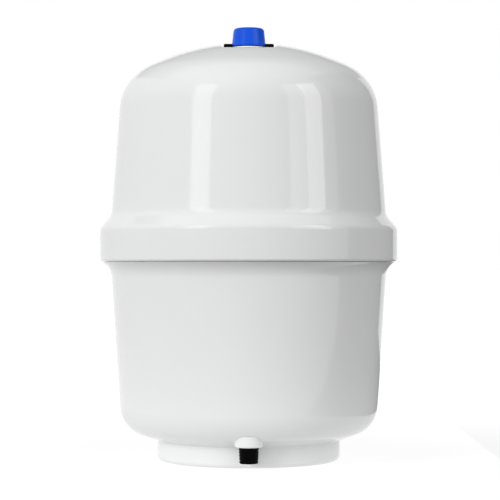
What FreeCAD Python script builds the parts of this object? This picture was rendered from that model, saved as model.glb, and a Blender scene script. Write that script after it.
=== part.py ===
"""Pressurised water storage tank: two moulded shells with a diaphragm, a capped water port and an air valve.

Millimetres, +Z up. The origin is on the floor, under the middle of the foot ring.
The air valve stands at the front, which is -Y.
"""

import FreeCAD
import Part
import math
import os

V = FreeCAD.Vector
AXIS = V(0, 0, 1)
CENTRE = V(0, 0, 0)

# Overall
tank_radius = 130.0
crown_top_z = 364.1
joint_z = 173.2

# Shells: walls, crown and bottom dome
wall = 4.5
crown_radius = 200.0
shoulder_radius = 43.0
upper_wall_inset = 9.86
upper_draft = 4.33
bottom_low_z = 5.4
bottom_radius = 262.0
heel_radius = 26.0
lower_wall_inset = 9.53
lower_draft = 3.7

# Belt: the upper shell's skirt, which laps over the lower shell
belt_wall = 4.0
belt_height = 28.9
belt_low_round = 3.5
belt_high_round = 7.0
flare_height = 11.4
flare_round = 12.0
flare_run = 20.0
lap_gap = 0.15
ledge_drop = 2.1

# Cove: the lower shell's flare up to the belt
cove_lip_inset = 2.7
cove_lip_round = 0.4
cove_lip_gap = 0.3
cove_drop = 5.8
cove_round = 18.0
cove_run = 20.0

# Foot ring
foot_radius = 79.7
foot_wall = 8.0
foot_outer_round = 4.5
foot_inner_round = 0.8

# Clamped stack at the joint
liner_wall = 1.5
liner_gap = 0.3
diaphragm_wall = 2.0
diaphragm_gap = 0.3
bead_height = 4.0
clamp_ring_height = 2.0

# Water port and the land that its cap stands on, in a shallow flute across the crown
port_seat_drop = 10.1
land_drop = 3.2
flute_side_slope = 45.0
flute_fall = 6.6
flute_reach = 90.0
port_thread_radius = 6.85
port_bore_radius = 3.6
port_gap = 0.2
port_rise = 10.2
port_end_round = 1.0
port_mouth_round = 0.6
port_flange_radius = 18.0
port_flange_height = 2.5
port_flange_round = 0.5
gasket_height = 1.5
gasket_inset = 2.0
screen_inset = 8.0
screen_height = 1.5
screen_holes = 6
screen_hole_radius = 1.6
screen_hole_circle = 5.6

# Lock nut
nut_length = 44.0
nut_radius = 13.9
nut_gap = 0.2
nut_sink = 1.5
nut_flange_height = 2.2
nut_wing_step = 0.6
nut_collar_wall = 3.15
nut_collar_height = 3.4
lug_width = 11.0
lug_height = 4.6
lug_cap_gap = 0.4
lug_round = 1.8

# Port cap
cap_radius = 15.05
cap_taper = 1.8
cap_height = 16.1
cap_top_round = 2.8
cap_wall = 1.6
cap_floor_gap = 0.1
cap_band_height = 2.9
cap_band_step = 0.35
cap_rim_round = 0.8
cap_sleeve_wall = 1.4
cap_sleeve_gap = 0.1
cap_sleeve_depth = 9.0
cap_ribs = 8
cap_rib_width = 1.0
cap_rib_sink = 0.4
cap_rib_drop = 2.0

# Air valve
valve_stand_off = 13.3
boss_wall = 7.35
valve_seat_rise = 1.4
boss_drop = 3.18
boss_round = 1.6
seat_clearance = 1.0
stem_radius = 4.5
stem_gap = 0.15
stem_flange_width = 3.0
stem_flange_height = 2.0
stem_tip_radius = 3.85
stem_reach = 10.7
stem_neck_gap = 0.3
stem_round = 0.3
stem_bore_gap = 0.4
stem_seat_rise = 6.4
stem_seat_height = 1.4
grommet_height = 1.5
grommet_overhang = 0.3
washer_width = 1.9
washer_height = 0.8
nut_wall = 1.25
valve_nut_height = 3.0

# Valve core
core_bore_radius = 1.45
core_wall = 0.3
core_head_radius = 2.6
core_head_gap = 0.1
core_head_sink = 1.4
core_head_height = 3.0
core_length = 7.2
core_end_wall = 0.8
core_notch_width = 1.2
core_notch_depth = 1.0
core_round = 0.2
packing_height = 1.3
pin_radius = 0.7
pin_gap = 0.1
pin_sink = 0.7
pin_length = 10.1
pin_round = 0.25
pin_collar_gap = 0.2
pin_collar_height = 0.5
pin_collar_rise = 1.6
spring_wire = 0.34
spring_turns = 5
spring_gap = 0.06
cup_inset = 0.25
cup_height = 0.8
cup_seal_height = 0.55
seal_gap = 0.05

# Valve cap
valve_cap_wall = 1.4
valve_cap_taper = 0.6
valve_cap_round = 0.9
valve_cap_edge_round = 0.3
valve_cap_top_gap = 0.1
valve_cap_nut_gap = 0.3
valve_cap_shoulder_gap = 0.6
valve_cap_thread_gap = 0.08
valve_cap_floor = 1.7
valve_cap_seal_height = 1.0
valve_cap_grooves = 4
valve_cap_groove_depth = 0.3

# How far a cutter or a joined piece runs past the face that it meets
overrun = 1.0


def point(r, z):
    """A point of a section, drawn in the XZ plane."""
    return V(r, 0, z)


def arc(start, end, middle):
    """The short arc from start to end round the point middle."""
    radius = (start - middle).Length
    way = (start + end) * 0.5 - middle
    return Part.Arc(start, middle + way * (radius / way.Length), end).toShape()


def line(start, end):
    """A straight edge."""
    return Part.LineSegment(start, end).toShape()


def corners(points):
    """Edges through (r, z, fillet) corners. The first and last points have no fillet."""
    edges = []
    here = point(points[0][0], points[0][1])
    for before, corner, after in zip(points, points[1:], points[2:]):
        tip = point(corner[0], corner[1])
        back = (point(before[0], before[1]) - tip).normalize()
        ahead = (point(after[0], after[1]) - tip).normalize()
        if corner[2] == 0:
            edges.append(line(here, tip))
            here = tip
            continue
        half = back.getAngle(ahead) / 2
        reach = corner[2] / math.tan(half)
        middle = tip + (back + ahead).normalize() * (corner[2] / math.sin(half))
        edges.append(line(here, tip + back * reach))
        edges.append(arc(tip + back * reach, tip + ahead * reach, middle))
        here = tip + ahead * reach
    edges.append(line(here, point(points[-1][0], points[-1][1])))
    return edges


def turned(edges):
    """The solid made by turning a section once round the Z axis."""
    wire = Part.Wire(edges)
    if not wire.isClosed():
        raise ValueError("the section isn't closed")
    return Part.Face(wire).revolve(CENTRE, AXIS, 360)


def turned_corners(points):
    """A turned solid from a closed ring of (r, z, fillet) corners, the first without one."""
    first = (points[0][0], points[0][1], 0)
    return turned(corners([first] + list(points[1:]) + [first]))


def disc(radius, low, high, hole=0.0):
    """A flat ring or disc on the Z axis."""
    solid = Part.makeCylinder(radius, high - low, point(0, low))
    if hole > 0:
        solid = solid.cut(Part.makeCylinder(hole, high - low, point(0, low)))
    return solid


def at_valve(shape):
    """A shape that was made on the Z axis, moved to the air valve."""
    moved = shape.copy()
    moved.translate(V(0, valve_y, 0))
    return moved


class Dome:
    """A drafted wall, a corner arc and a shallow end dome, tangent to each other.

    side is 1 for the crown and -1 for the bottom. Each inset keeps the arcs' middles,
    so that nested walls stay parallel.
    """

    def __init__(self, wall_radius, wall_z, draft, corner_radius, end_radius, end_z, side):
        lean = math.radians(draft)
        self.foot = point(wall_radius, wall_z)
        self.along = point(-math.sin(lean), side * math.cos(lean))
        self.inward = point(-math.cos(lean), -side * math.sin(lean))
        self.corner_radius = corner_radius
        self.end_radius = end_radius
        self.end_middle = point(0, end_z - side * end_radius)
        self.side = side
        reach = end_radius - corner_radius
        base = self.foot + self.inward * corner_radius - self.end_middle
        half = base.dot(self.along)
        step = -half + math.sqrt(half * half - base.dot(base) + reach * reach)
        self.corner_middle = self.foot + self.inward * corner_radius + self.along * step

    def wall_at(self, z, inset=0.0):
        """The wall's point at a height."""
        start = self.foot + self.inward * inset
        return start + self.along * ((z - start.z) / self.along.z)

    def end_at(self, r, inset=0.0):
        """The end dome's point at a radius, or the corner arc's point further out."""
        middle = self.end_middle
        radius = self.end_radius - inset
        out = (self.corner_middle - self.end_middle).normalize()
        if r > (self.corner_middle + out * (self.corner_radius - inset)).x:
            middle = self.corner_middle
            radius = self.corner_radius - inset
        across = r - middle.x
        return point(r, middle.z + self.side * math.sqrt(radius * radius - across * across))

    def end_radius_at(self, z, inset=0.0):
        """The radius at which the end dome passes a height."""
        radius = self.end_radius - inset
        rise = z - self.end_middle.z
        return math.sqrt(radius * radius - rise * rise)

    def arcs(self, start, finish, inset=0.0):
        """Edges from a wall point, round the corner, to a point of the end dome."""
        corner = self.corner_radius - inset
        low = self.corner_middle - self.inward * corner
        out = (self.corner_middle - self.end_middle).normalize()
        high = self.corner_middle + out * corner
        return [
            line(start, low),
            arc(low, high, self.corner_middle),
            arc(high, finish, self.end_middle),
        ]


# Heights at the joint between the shells, from the belt's top down
belt_high_z = joint_z + belt_height
flare_end_z = belt_high_z + flare_height
ledge_z = belt_high_z - ledge_drop
liner_flange_z = ledge_z - liner_wall
bead_low_z = liner_flange_z - bead_height
neck_top_z = bead_low_z - clamp_ring_height
cove_start_z = joint_z - cove_drop
socket_radius = tank_radius - belt_wall
neck_radius = socket_radius - lap_gap

crown = Dome(
    tank_radius - upper_wall_inset, flare_end_z, upper_draft, shoulder_radius, crown_radius, crown_top_z, 1,
)
bottom = Dome(
    tank_radius - lower_wall_inset, cove_start_z, lower_draft, heel_radius, bottom_radius, bottom_low_z, -1,
)

# Heights of the water port's stack
port_seat_z = crown_top_z - port_seat_drop
liner_top_z = port_seat_z - liner_wall
gasket_low_z = liner_top_z - gasket_height
port_flange_low_z = gasket_low_z - port_flange_height
diaphragm_top_z = port_flange_low_z - diaphragm_gap
port_top_z = crown_top_z + port_rise
gasket_radius = port_flange_radius - gasket_inset
screen_radius = port_flange_radius - screen_inset
land_z = crown_top_z - land_drop
pocket_z = land_z - nut_sink
nut_top_z = pocket_z + nut_flange_height
lug_top_z = pocket_z + lug_height
cap_low_z = nut_top_z + cap_floor_gap

# The air valve: its place, the stem's stack and the core inside the stem
valve_y = -foot_radius - valve_stand_off
stem_hole = stem_radius + stem_gap
boss_radius = stem_hole + boss_wall
valve_seat_z = bottom.end_at(-valve_y, wall).z + valve_seat_rise
boss_low_z = bottom.end_at(-valve_y).z - boss_drop
stem_tip_z = boss_low_z - stem_reach
stem_flange_z = valve_seat_z + grommet_height
stem_flange_radius = stem_radius + stem_flange_width
stem_mouth_radius = core_head_radius + core_head_gap
stem_seat_z = stem_tip_z + stem_seat_rise
core_body_radius = core_bore_radius + core_wall
stem_bore_radius = core_body_radius + stem_bore_gap
core_head_low_z = stem_tip_z + core_head_sink
core_top_z = core_head_low_z + core_length
spring_top_z = core_top_z - core_end_wall
pin_low_z = stem_tip_z + pin_sink
collar_low_z = pin_low_z + pin_collar_rise
collar_high_z = collar_low_z + pin_collar_height
cup_radius = core_body_radius - cup_inset
washer_radius = stem_radius + washer_width
valve_nut_top_z = boss_low_z - washer_height
valve_nut_low_z = valve_nut_top_z - valve_nut_height
nut_flat_radius = stem_radius + nut_wall
nut_corner_radius = nut_flat_radius / math.cos(math.radians(30))
valve_cap_mouth_radius = nut_corner_radius + valve_cap_nut_gap
valve_cap_radius = valve_cap_mouth_radius + valve_cap_wall
valve_cap_high_z = boss_low_z - valve_cap_top_gap
valve_cap_shoulder_z = valve_nut_low_z - valve_cap_shoulder_gap
valve_cap_floor_z = stem_tip_z - valve_cap_seal_height - seal_gap * 2
valve_cap_low_z = valve_cap_floor_z - valve_cap_floor
stem_neck_z = valve_cap_shoulder_z + stem_neck_gap


def flute():
    """The cutter of the shallow flute that runs front to back across the crown, round the land."""
    fall = flute_reach * math.tan(math.radians(flute_fall))
    low = land_z - fall
    top = crown_top_z + overrun
    flat = lug_width / 2
    wedge = Part.makePolygon([
        V(-flute_reach, -flat - flute_reach, low),
        V(-flute_reach, -flat, land_z),
        V(-flute_reach, flat, land_z),
        V(-flute_reach, flat + flute_reach, low),
        V(-flute_reach, flat + flute_reach, top),
        V(-flute_reach, -flat - flute_reach, top),
        V(-flute_reach, -flat - flute_reach, low),
    ])
    half = nut_length / 2 + nut_gap
    spread = (top - land_z) * math.tan(math.radians(flute_side_slope))
    trough = Part.makePolygon([
        V(-half, -2 * flute_reach, low),
        V(half, -2 * flute_reach, low),
        V(half, -2 * flute_reach, land_z),
        V(half + spread, -2 * flute_reach, top),
        V(-half - spread, -2 * flute_reach, top),
        V(-half, -2 * flute_reach, land_z),
        V(-half, -2 * flute_reach, low),
    ])
    above = Part.Face(wedge).extrude(V(2 * flute_reach, 0, 0))
    along = Part.Face(trough).extrude(V(0, 4 * flute_reach, 0))
    return above.common(along).cut(disc(cap_radius, low, land_z))


def oblong(length, width, low, high):
    """A flat block with square ends, centred on the port."""
    return Part.makeBox(length, width, high - low, V(-length / 2, -width / 2, low))


def upper_shell():
    """Crown, shoulder, wall, flare and belt, with the joint's ledge inside and the port's seat on top."""
    flare_foot = crown.wall_at(flare_end_z)
    wall_start = crown.wall_at(flare_end_z + flare_run)
    seat_edge = point(crown.end_radius_at(port_seat_z, wall), port_seat_z)
    ledge_in = crown.wall_at(ledge_z, wall)
    edges = corners([
        (socket_radius, joint_z, 0),
        (tank_radius, joint_z, belt_low_round),
        (tank_radius, belt_high_z, belt_high_round),
        (flare_foot.x, flare_foot.z, flare_round),
        (wall_start.x, wall_start.z, 0),
    ])
    edges += crown.arcs(wall_start, crown.end_at(0))
    edges += crown.arcs(ledge_in, seat_edge, wall)
    edges += corners([
        (0, crown_top_z, 0),
        (0, port_seat_z, 0),
        (seat_edge.x, port_seat_z, 0),
    ])
    edges += corners([
        (ledge_in.x, ledge_z, 0),
        (socket_radius, ledge_z, 0),
        (socket_radius, joint_z, 0),
    ])
    shell = turned(Part.__sortEdges__(edges)).cut(flute())
    shell = shell.cut(disc(nut_radius + nut_gap, pocket_z, crown_top_z))
    shell = shell.cut(oblong(nut_length + 2 * nut_gap, lug_width + 2 * nut_gap, pocket_z, crown_top_z))
    return shell.cut(disc(port_thread_radius + port_gap, port_seat_z - overrun, crown_top_z))


def valve_boss(low, high, edge_round=0.0):
    """Round-nosed boss round the air valve, joined back to the foot ring. Seen from the front it is a hood."""
    nose = turned_corners([
        (0, low, 0),
        (boss_radius, low, edge_round),
        (boss_radius, high, 0),
        (0, high, 0),
    ])
    web_length = valve_stand_off + foot_wall / 2
    web = Part.makeBox(2 * boss_radius, web_length, high - low, V(-boss_radius, 0, low))
    if edge_round > 0:
        low_sides = [
            edge for edge in web.Edges
            if edge.BoundBox.ZMax < low + overrun / 10 and edge.BoundBox.YLength > web_length / 2
        ]
        web = web.makeFillet(edge_round, low_sides)
    return at_valve(nose.fuse(web))


def bottom_half():
    """Neck, cove, wall, heel and bottom dome, all turned."""
    lip_z = joint_z - cove_lip_gap
    cove = bottom.wall_at(cove_start_z)
    wall_start = bottom.wall_at(cove_start_z - cove_run)
    neck_in = bottom.wall_at(neck_top_z, wall)
    edges = corners([
        (neck_radius, neck_top_z, 0),
        (neck_radius, lip_z, 0),
        (tank_radius - cove_lip_inset, lip_z, cove_lip_round),
        (cove.x, cove.z, cove_round),
        (wall_start.x, wall_start.z, 0),
    ])
    edges += bottom.arcs(wall_start, bottom.end_at(0))
    edges += bottom.arcs(neck_in, bottom.end_at(0, wall), wall)
    edges += [
        line(bottom.end_at(0), bottom.end_at(0, wall)),
        line(neck_in, point(neck_radius, neck_top_z)),
    ]
    return turned(Part.__sortEdges__(edges))


def lower_shell():
    """The turned bottom half with the boss that the air valve passes through."""
    spot = stem_flange_radius + seat_clearance
    spot_top = bottom.end_at(-valve_y + spot, wall).z + overrun
    whole = bottom_half().fuse(valve_boss(boss_low_z, valve_seat_z, boss_round))
    whole = whole.cut(at_valve(disc(spot, valve_seat_z, spot_top)))
    whole = whole.cut(at_valve(disc(stem_hole, boss_low_z, spot_top)))
    return whole.removeSplitter()


def foot_ring():
    """Ring that the tank stands on, cut to fit under the bottom dome and round the boss's web."""
    root = bottom.end_at(foot_radius).z + wall / 4
    ring = turned_corners([
        (foot_radius - foot_wall, root, 0),
        (foot_radius, root, 0),
        (foot_radius, 0, foot_outer_round),
        (foot_radius - foot_wall, 0, foot_inner_round),
    ])
    return ring.cut(bottom_half()).cut(valve_boss(boss_low_z, valve_seat_z, boss_round))


def water_liner():
    """Thin cup against the upper shell's inside, with a flange clamped under the ledge."""
    out_inset = wall + liner_gap
    in_inset = out_inset + liner_wall
    out_start = crown.wall_at(ledge_z, out_inset)
    in_start = crown.wall_at(liner_flange_z, in_inset)
    out_top = point(crown.end_radius_at(port_seat_z - liner_gap, out_inset), port_seat_z - liner_gap)
    in_top = point(crown.end_radius_at(liner_top_z, in_inset), liner_top_z)
    hub = gasket_radius
    hole = port_thread_radius + port_gap
    edges = crown.arcs(out_start, out_top, out_inset) + crown.arcs(in_start, in_top, in_inset)
    edges += [
        line(out_top, point(hub, out_top.z)),
        line(point(hub, out_top.z), point(hub, port_seat_z)),
        line(point(hub, port_seat_z), point(hole, port_seat_z)),
        line(point(hole, port_seat_z), point(hole, liner_top_z)),
        line(point(hole, liner_top_z), in_top),
        line(in_start, point(neck_radius, liner_flange_z)),
        line(point(neck_radius, liner_flange_z), point(neck_radius, ledge_z)),
        line(point(neck_radius, ledge_z), out_start),
    ]
    return turned(Part.__sortEdges__(edges))


def diaphragm():
    """Rubber cup pressed up under the liner by the charge air, with a thick clamped bead."""
    out_inset = wall + liner_gap + liner_wall + diaphragm_gap
    in_inset = out_inset + diaphragm_wall
    out_start = crown.wall_at(liner_flange_z, out_inset)
    in_start = crown.wall_at(bead_low_z, in_inset)
    out_top = point(crown.end_radius_at(diaphragm_top_z, out_inset), diaphragm_top_z)
    low_z = diaphragm_top_z - diaphragm_wall
    in_top = point(crown.end_radius_at(low_z, in_inset), low_z)
    edges = crown.arcs(out_start, out_top, out_inset) + crown.arcs(in_start, in_top, in_inset)
    edges += [
        line(out_top, point(0, out_top.z)),
        line(point(0, out_top.z), point(0, in_top.z)),
        line(point(0, in_top.z), in_top),
        line(in_start, point(neck_radius, bead_low_z)),
        line(point(neck_radius, bead_low_z), point(neck_radius, liner_flange_z)),
        line(point(neck_radius, liner_flange_z), out_start),
    ]
    return turned(Part.__sortEdges__(edges))


def clamp_ring():
    """Flat slip ring between the diaphragm's bead and the lower shell's neck."""
    return disc(neck_radius, neck_top_z, bead_low_z, bottom.wall_at(neck_top_z, wall).x)


def port_fitting():
    """Threaded water nipple, flanged on the inside, with a counterbore for its screen."""
    step = port_flange_low_z + screen_height
    return turned_corners([
        (port_bore_radius, step, 0),
        (screen_radius, step, 0),
        (screen_radius, port_flange_low_z, 0),
        (port_flange_radius, port_flange_low_z, port_flange_round),
        (port_flange_radius, gasket_low_z, port_flange_round),
        (port_thread_radius, gasket_low_z, 0),
        (port_thread_radius, port_top_z, port_end_round),
        (port_bore_radius, port_top_z, port_mouth_round),
    ])


def port_gasket():
    """Flat rubber gasket between the fitting's flange and the liner."""
    return disc(gasket_radius, gasket_low_z, liner_top_z, port_thread_radius + lap_gap)


def port_screen():
    """Holed disc snapped into the fitting's counterbore."""
    low = port_flange_low_z
    screen = disc(screen_radius - lap_gap, low, low + screen_height, screen_hole_radius)
    for n in range(screen_holes):
        angle = 2 * math.pi * n / screen_holes
        place = V(screen_hole_circle * math.cos(angle), screen_hole_circle * math.sin(angle), low)
        screen = screen.cut(Part.makeCylinder(screen_hole_radius, screen_height, place))
    return screen


def hexagon(flat_radius, low, high):
    """A hexagonal block on the Z axis with its flats at flat_radius."""
    corner = flat_radius / math.cos(math.radians(30))
    ring = [
        V(corner * math.cos(math.radians(60 * n)), corner * math.sin(math.radians(60 * n)), low)
        for n in range(7)
    ]
    return Part.Face(Part.makePolygon(ring)).extrude(V(0, 0, high - low))


def port_lock_nut():
    """Round flange that the cap stands on, a hexagonal collar inside it and a raised lug at each side."""
    wings = oblong(nut_length, lug_width, pocket_z, nut_top_z - nut_wing_step)
    lugs = oblong(nut_length, lug_width, pocket_z, lug_top_z)
    end_edges = [
        edge for edge in lugs.Edges
        if edge.BoundBox.XLength < lug_round and abs(edge.BoundBox.XMin) > cap_radius
        and edge.BoundBox.ZMax > pocket_z + lug_round
    ]
    lugs = lugs.makeFillet(lug_round, end_edges)
    lugs = lugs.cut(disc(cap_radius + lug_cap_gap, pocket_z, lug_top_z))
    flat_radius = port_thread_radius + nut_collar_wall
    collar_top = nut_top_z + nut_collar_height
    collar = hexagon(flat_radius, pocket_z, collar_top)
    crowned = turned_corners([
        (0, pocket_z, 0),
        (nut_radius, pocket_z, 0),
        (nut_radius, collar_top - (nut_radius - flat_radius) / 2, 0),
        (flat_radius, collar_top, 0),
        (0, collar_top, 0),
    ])
    nut = disc(nut_radius, pocket_z, nut_top_z).fuse([collar.common(crowned), wings, lugs])
    return nut.removeSplitter().cut(disc(port_thread_radius + lap_gap, pocket_z, collar_top))


def port_cap():
    """Tapered push-on cap with a rim band, a gripping sleeve and stiffening ribs."""
    top = cap_low_z + cap_height
    band_z = cap_low_z + cap_band_height
    top_radius = cap_radius - cap_taper
    inner_low = cap_radius - cap_wall
    inner_top = top_radius - cap_wall
    roof = top - cap_wall
    shell = turned_corners([
        (0, top, 0),
        (top_radius, top, cap_top_round),
        (cap_radius - cap_band_step, band_z, 0),
        (cap_radius, band_z - cap_band_step, 0),
        (cap_radius, cap_low_z, cap_rim_round),
        (inner_low, cap_low_z, cap_rim_round / 2),
        (inner_top, roof, cap_top_round - cap_wall),
        (0, roof, 0),
    ])
    grip = port_thread_radius + cap_sleeve_gap
    sleeve_radius = grip + cap_sleeve_wall
    sleeve_low = roof - cap_sleeve_depth
    cap = shell.fuse(disc(sleeve_radius, sleeve_low, roof + cap_wall / 2, grip))
    rib_low = sleeve_low + cap_rib_drop
    rib_length = inner_top - sleeve_radius + 2 * cap_rib_sink
    for n in range(cap_ribs):
        corner = V(sleeve_radius - cap_rib_sink, -cap_rib_width / 2, rib_low)
        rib = Part.makeBox(rib_length, cap_rib_width, roof + cap_wall / 2 - rib_low, corner)
        rib.rotate(CENTRE, AXIS, 360 * (n + 0.5) / cap_ribs)
        cap = cap.fuse(rib)
    return cap.removeSplitter()


def valve_stem():
    """Valve body: inner flange, plain shank, threaded tip and stepped bore."""
    top = stem_flange_z + stem_flange_height
    return at_valve(turned_corners([
        (stem_mouth_radius, stem_tip_z, 0),
        (stem_tip_radius, stem_tip_z, stem_round),
        (stem_tip_radius, stem_neck_z, 0),
        (stem_radius, stem_neck_z, stem_round),
        (stem_radius, stem_flange_z, 0),
        (stem_flange_radius, stem_flange_z, stem_round),
        (stem_flange_radius, top, stem_round),
        (stem_bore_radius, top, stem_round),
        (stem_bore_radius, stem_seat_z, 0),
        (stem_mouth_radius, stem_seat_z - stem_seat_height, 0),
    ]))


def valve_grommet():
    """Rubber ring under the stem's flange."""
    return at_valve(disc(stem_flange_radius + grommet_overhang, valve_seat_z, stem_flange_z, stem_hole))


def valve_washer():
    """Steel washer against the boss."""
    return at_valve(disc(washer_radius, valve_nut_top_z, boss_low_z, stem_hole))


def valve_nut():
    """Hexagon nut that draws the stem's flange down on its grommet, with its lower corners turned off."""
    crown_off = (nut_corner_radius - nut_flat_radius) / 2
    crowned = turned_corners([
        (0, valve_nut_low_z, 0),
        (nut_flat_radius, valve_nut_low_z, 0),
        (nut_corner_radius, valve_nut_low_z + crown_off, 0),
        (nut_corner_radius, valve_nut_top_z, 0),
        (0, valve_nut_top_z, 0),
    ])
    nut = hexagon(nut_flat_radius, valve_nut_low_z, valve_nut_top_z).common(crowned)
    return at_valve(nut.cut(disc(stem_radius + valve_cap_thread_gap, valve_nut_low_z, valve_nut_top_z)))


def core_barrel():
    """Valve core body, open at its outer end and with an end wall that guides the pin."""
    head_z = core_head_low_z + core_head_height
    guide = pin_radius + pin_gap
    barrel = turned_corners([
        (core_bore_radius, core_head_low_z, 0),
        (core_head_radius, core_head_low_z, core_round),
        (core_head_radius, head_z, 0),
        (core_body_radius, head_z, 0),
        (core_body_radius, core_top_z, core_round),
        (guide, core_top_z, 0),
        (guide, spring_top_z, 0),
        (core_bore_radius, spring_top_z, 0),
    ])
    notch = Part.makeBox(
        2 * core_head_radius, core_notch_width, core_notch_depth,
        V(-core_head_radius, -core_notch_width / 2, core_head_low_z),
    )
    return at_valve(barrel.cut(notch))


def core_packing():
    """Soft ring round the barrel, seated on the bore's cone."""
    low = stem_seat_z - packing_height
    return at_valve(turned_corners([
        (core_body_radius, low, 0),
        (stem_mouth_radius - 2 * seal_gap, low, 0),
        (stem_bore_radius - seal_gap, stem_seat_z, 0),
        (core_body_radius, stem_seat_z, 0),
    ]))


def core_pin():
    """Pin with the collar that the spring pushes on and the cup that holds the seal."""
    collar = core_bore_radius - pin_collar_gap
    cup_z = core_top_z + seal_gap + cup_seal_height
    top = pin_low_z + pin_length
    return at_valve(turned_corners([
        (0, pin_low_z, 0),
        (pin_radius, pin_low_z, pin_round),
        (pin_radius, collar_low_z, 0),
        (collar, collar_low_z, 0),
        (collar, collar_high_z, 0),
        (pin_radius, collar_high_z, 0),
        (pin_radius, cup_z, 0),
        (cup_radius, cup_z, 0),
        (cup_radius, cup_z + cup_height, core_round),
        (pin_radius, cup_z + cup_height, 0),
        (pin_radius, top, pin_round),
        (0, top, 0),
    ]))


def core_cup_seal():
    """Soft washer under the pin's cup, closed on the barrel's end."""
    low = core_top_z + seal_gap
    return at_valve(disc(cup_radius - seal_gap, low, low + cup_seal_height, pin_radius))


def core_spring():
    """Coil spring between the pin's collar and the barrel's end wall."""
    half_wire = spring_wire / 2
    low = collar_high_z + spring_gap + half_wire
    high = spring_top_z - spring_gap - half_wire
    radius = (pin_radius + core_bore_radius) / 2
    coil = Part.makeHelix((high - low) / spring_turns, high - low, radius)
    circle = Part.Wire(Part.makeCircle(half_wire, V(radius, 0, 0), V(0, 1, 0)))
    spring = Part.Wire(coil.Edges).makePipeShell([circle], True, True)
    spring.translate(V(0, 0, low))
    return at_valve(spring)


def valve_cap():
    """Screw cap: a wide mouth round the nut, a threaded bore and shallow grip grooves outside."""
    low_radius = valve_cap_radius - valve_cap_taper
    bore = stem_tip_radius + valve_cap_thread_gap
    body = turned_corners([
        (0, valve_cap_low_z, 0),
        (low_radius, valve_cap_low_z, valve_cap_round),
        (valve_cap_radius, valve_cap_high_z, valve_cap_edge_round),
        (valve_cap_mouth_radius, valve_cap_high_z, valve_cap_edge_round),
        (valve_cap_mouth_radius, valve_cap_shoulder_z, 0),
        (bore, valve_cap_shoulder_z, valve_cap_edge_round),
        (bore, valve_cap_floor_z, 0),
        (0, valve_cap_floor_z, 0),
    ])
    for n in range(valve_cap_grooves):
        share = (n + 1) / (valve_cap_grooves + 1)
        height = valve_cap_low_z + (valve_cap_high_z - valve_cap_low_z) * share
        groove_middle = low_radius + valve_cap_taper * share + valve_cap_groove_depth
        body = body.cut(Part.makeTorus(groove_middle, 2 * valve_cap_groove_depth, point(0, height)))
    return at_valve(body)


def valve_cap_seal():
    """Rubber disc at the bottom of the cap's bore, just off the stem's tip."""
    return at_valve(disc(stem_tip_radius, valve_cap_floor_z, valve_cap_floor_z + valve_cap_seal_height))


PIECES = [
    upper_shell, lower_shell, foot_ring, water_liner, diaphragm, clamp_ring,
    port_fitting, port_gasket, port_screen, port_lock_nut, port_cap,
    valve_stem, valve_grommet, valve_washer, valve_nut,
    core_barrel, core_packing, core_pin, core_cup_seal, core_spring,
    valve_cap, valve_cap_seal,
]

os.makedirs("parts", exist_ok=True)
for make in PIECES:
    shape = make()
    solids = shape.Solids
    print(make.__name__, len(solids), "valid" if shape.isValid() else "INVALID", round(shape.Volume, 1))
    shape = solids[0] if len(solids) == 1 else shape
    shape.exportStep("parts/" + make.__name__ + ".step")
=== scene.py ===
from math import cos, degrees, pi, radians, sin, sqrt, tan

import bmesh
import bpy
from mathutils import Matrix, Vector


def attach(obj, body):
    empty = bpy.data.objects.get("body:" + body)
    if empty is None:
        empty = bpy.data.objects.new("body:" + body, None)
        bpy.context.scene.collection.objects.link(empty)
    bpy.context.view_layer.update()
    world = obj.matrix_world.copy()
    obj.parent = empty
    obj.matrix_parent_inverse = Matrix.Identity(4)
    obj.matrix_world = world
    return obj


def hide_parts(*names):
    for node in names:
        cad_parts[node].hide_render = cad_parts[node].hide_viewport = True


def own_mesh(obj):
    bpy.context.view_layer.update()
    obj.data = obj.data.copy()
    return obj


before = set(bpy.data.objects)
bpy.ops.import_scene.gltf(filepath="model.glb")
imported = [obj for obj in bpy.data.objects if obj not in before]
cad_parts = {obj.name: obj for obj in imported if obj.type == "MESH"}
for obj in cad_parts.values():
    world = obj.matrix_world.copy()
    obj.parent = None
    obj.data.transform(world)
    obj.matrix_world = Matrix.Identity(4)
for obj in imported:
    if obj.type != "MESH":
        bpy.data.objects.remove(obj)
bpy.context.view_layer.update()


# Upper shell: the white moulded crown, shoulder and wall, with the wide belt that laps over the
# lower half. Injection moulded in polypropylene, 4.5 mm thick, with a bright polished skin.
# Its section is drawn as a wire and turned once round the tank's axis.
MM = 0.001
wall = 4.5
crown_z = 364.1
crown_radius = 200.0
shoulder_radius = 43.0
upper_wall_at = (119.5, 222.0)
upper_draft = 4.33
belt_radius = 130.0
belt_inner = 126.0
belt_low_z = 173.2
belt_low_round = 2.4
belt_corner_z = 202.1
belt_corner_round = 7.0
flare_z = 213.5
flare_round = 12.0
flare_reach = 14.0
ledge_z = 200.0
seat_z = 354.0
port_hole = 7.05
shell_sides = 256


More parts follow.
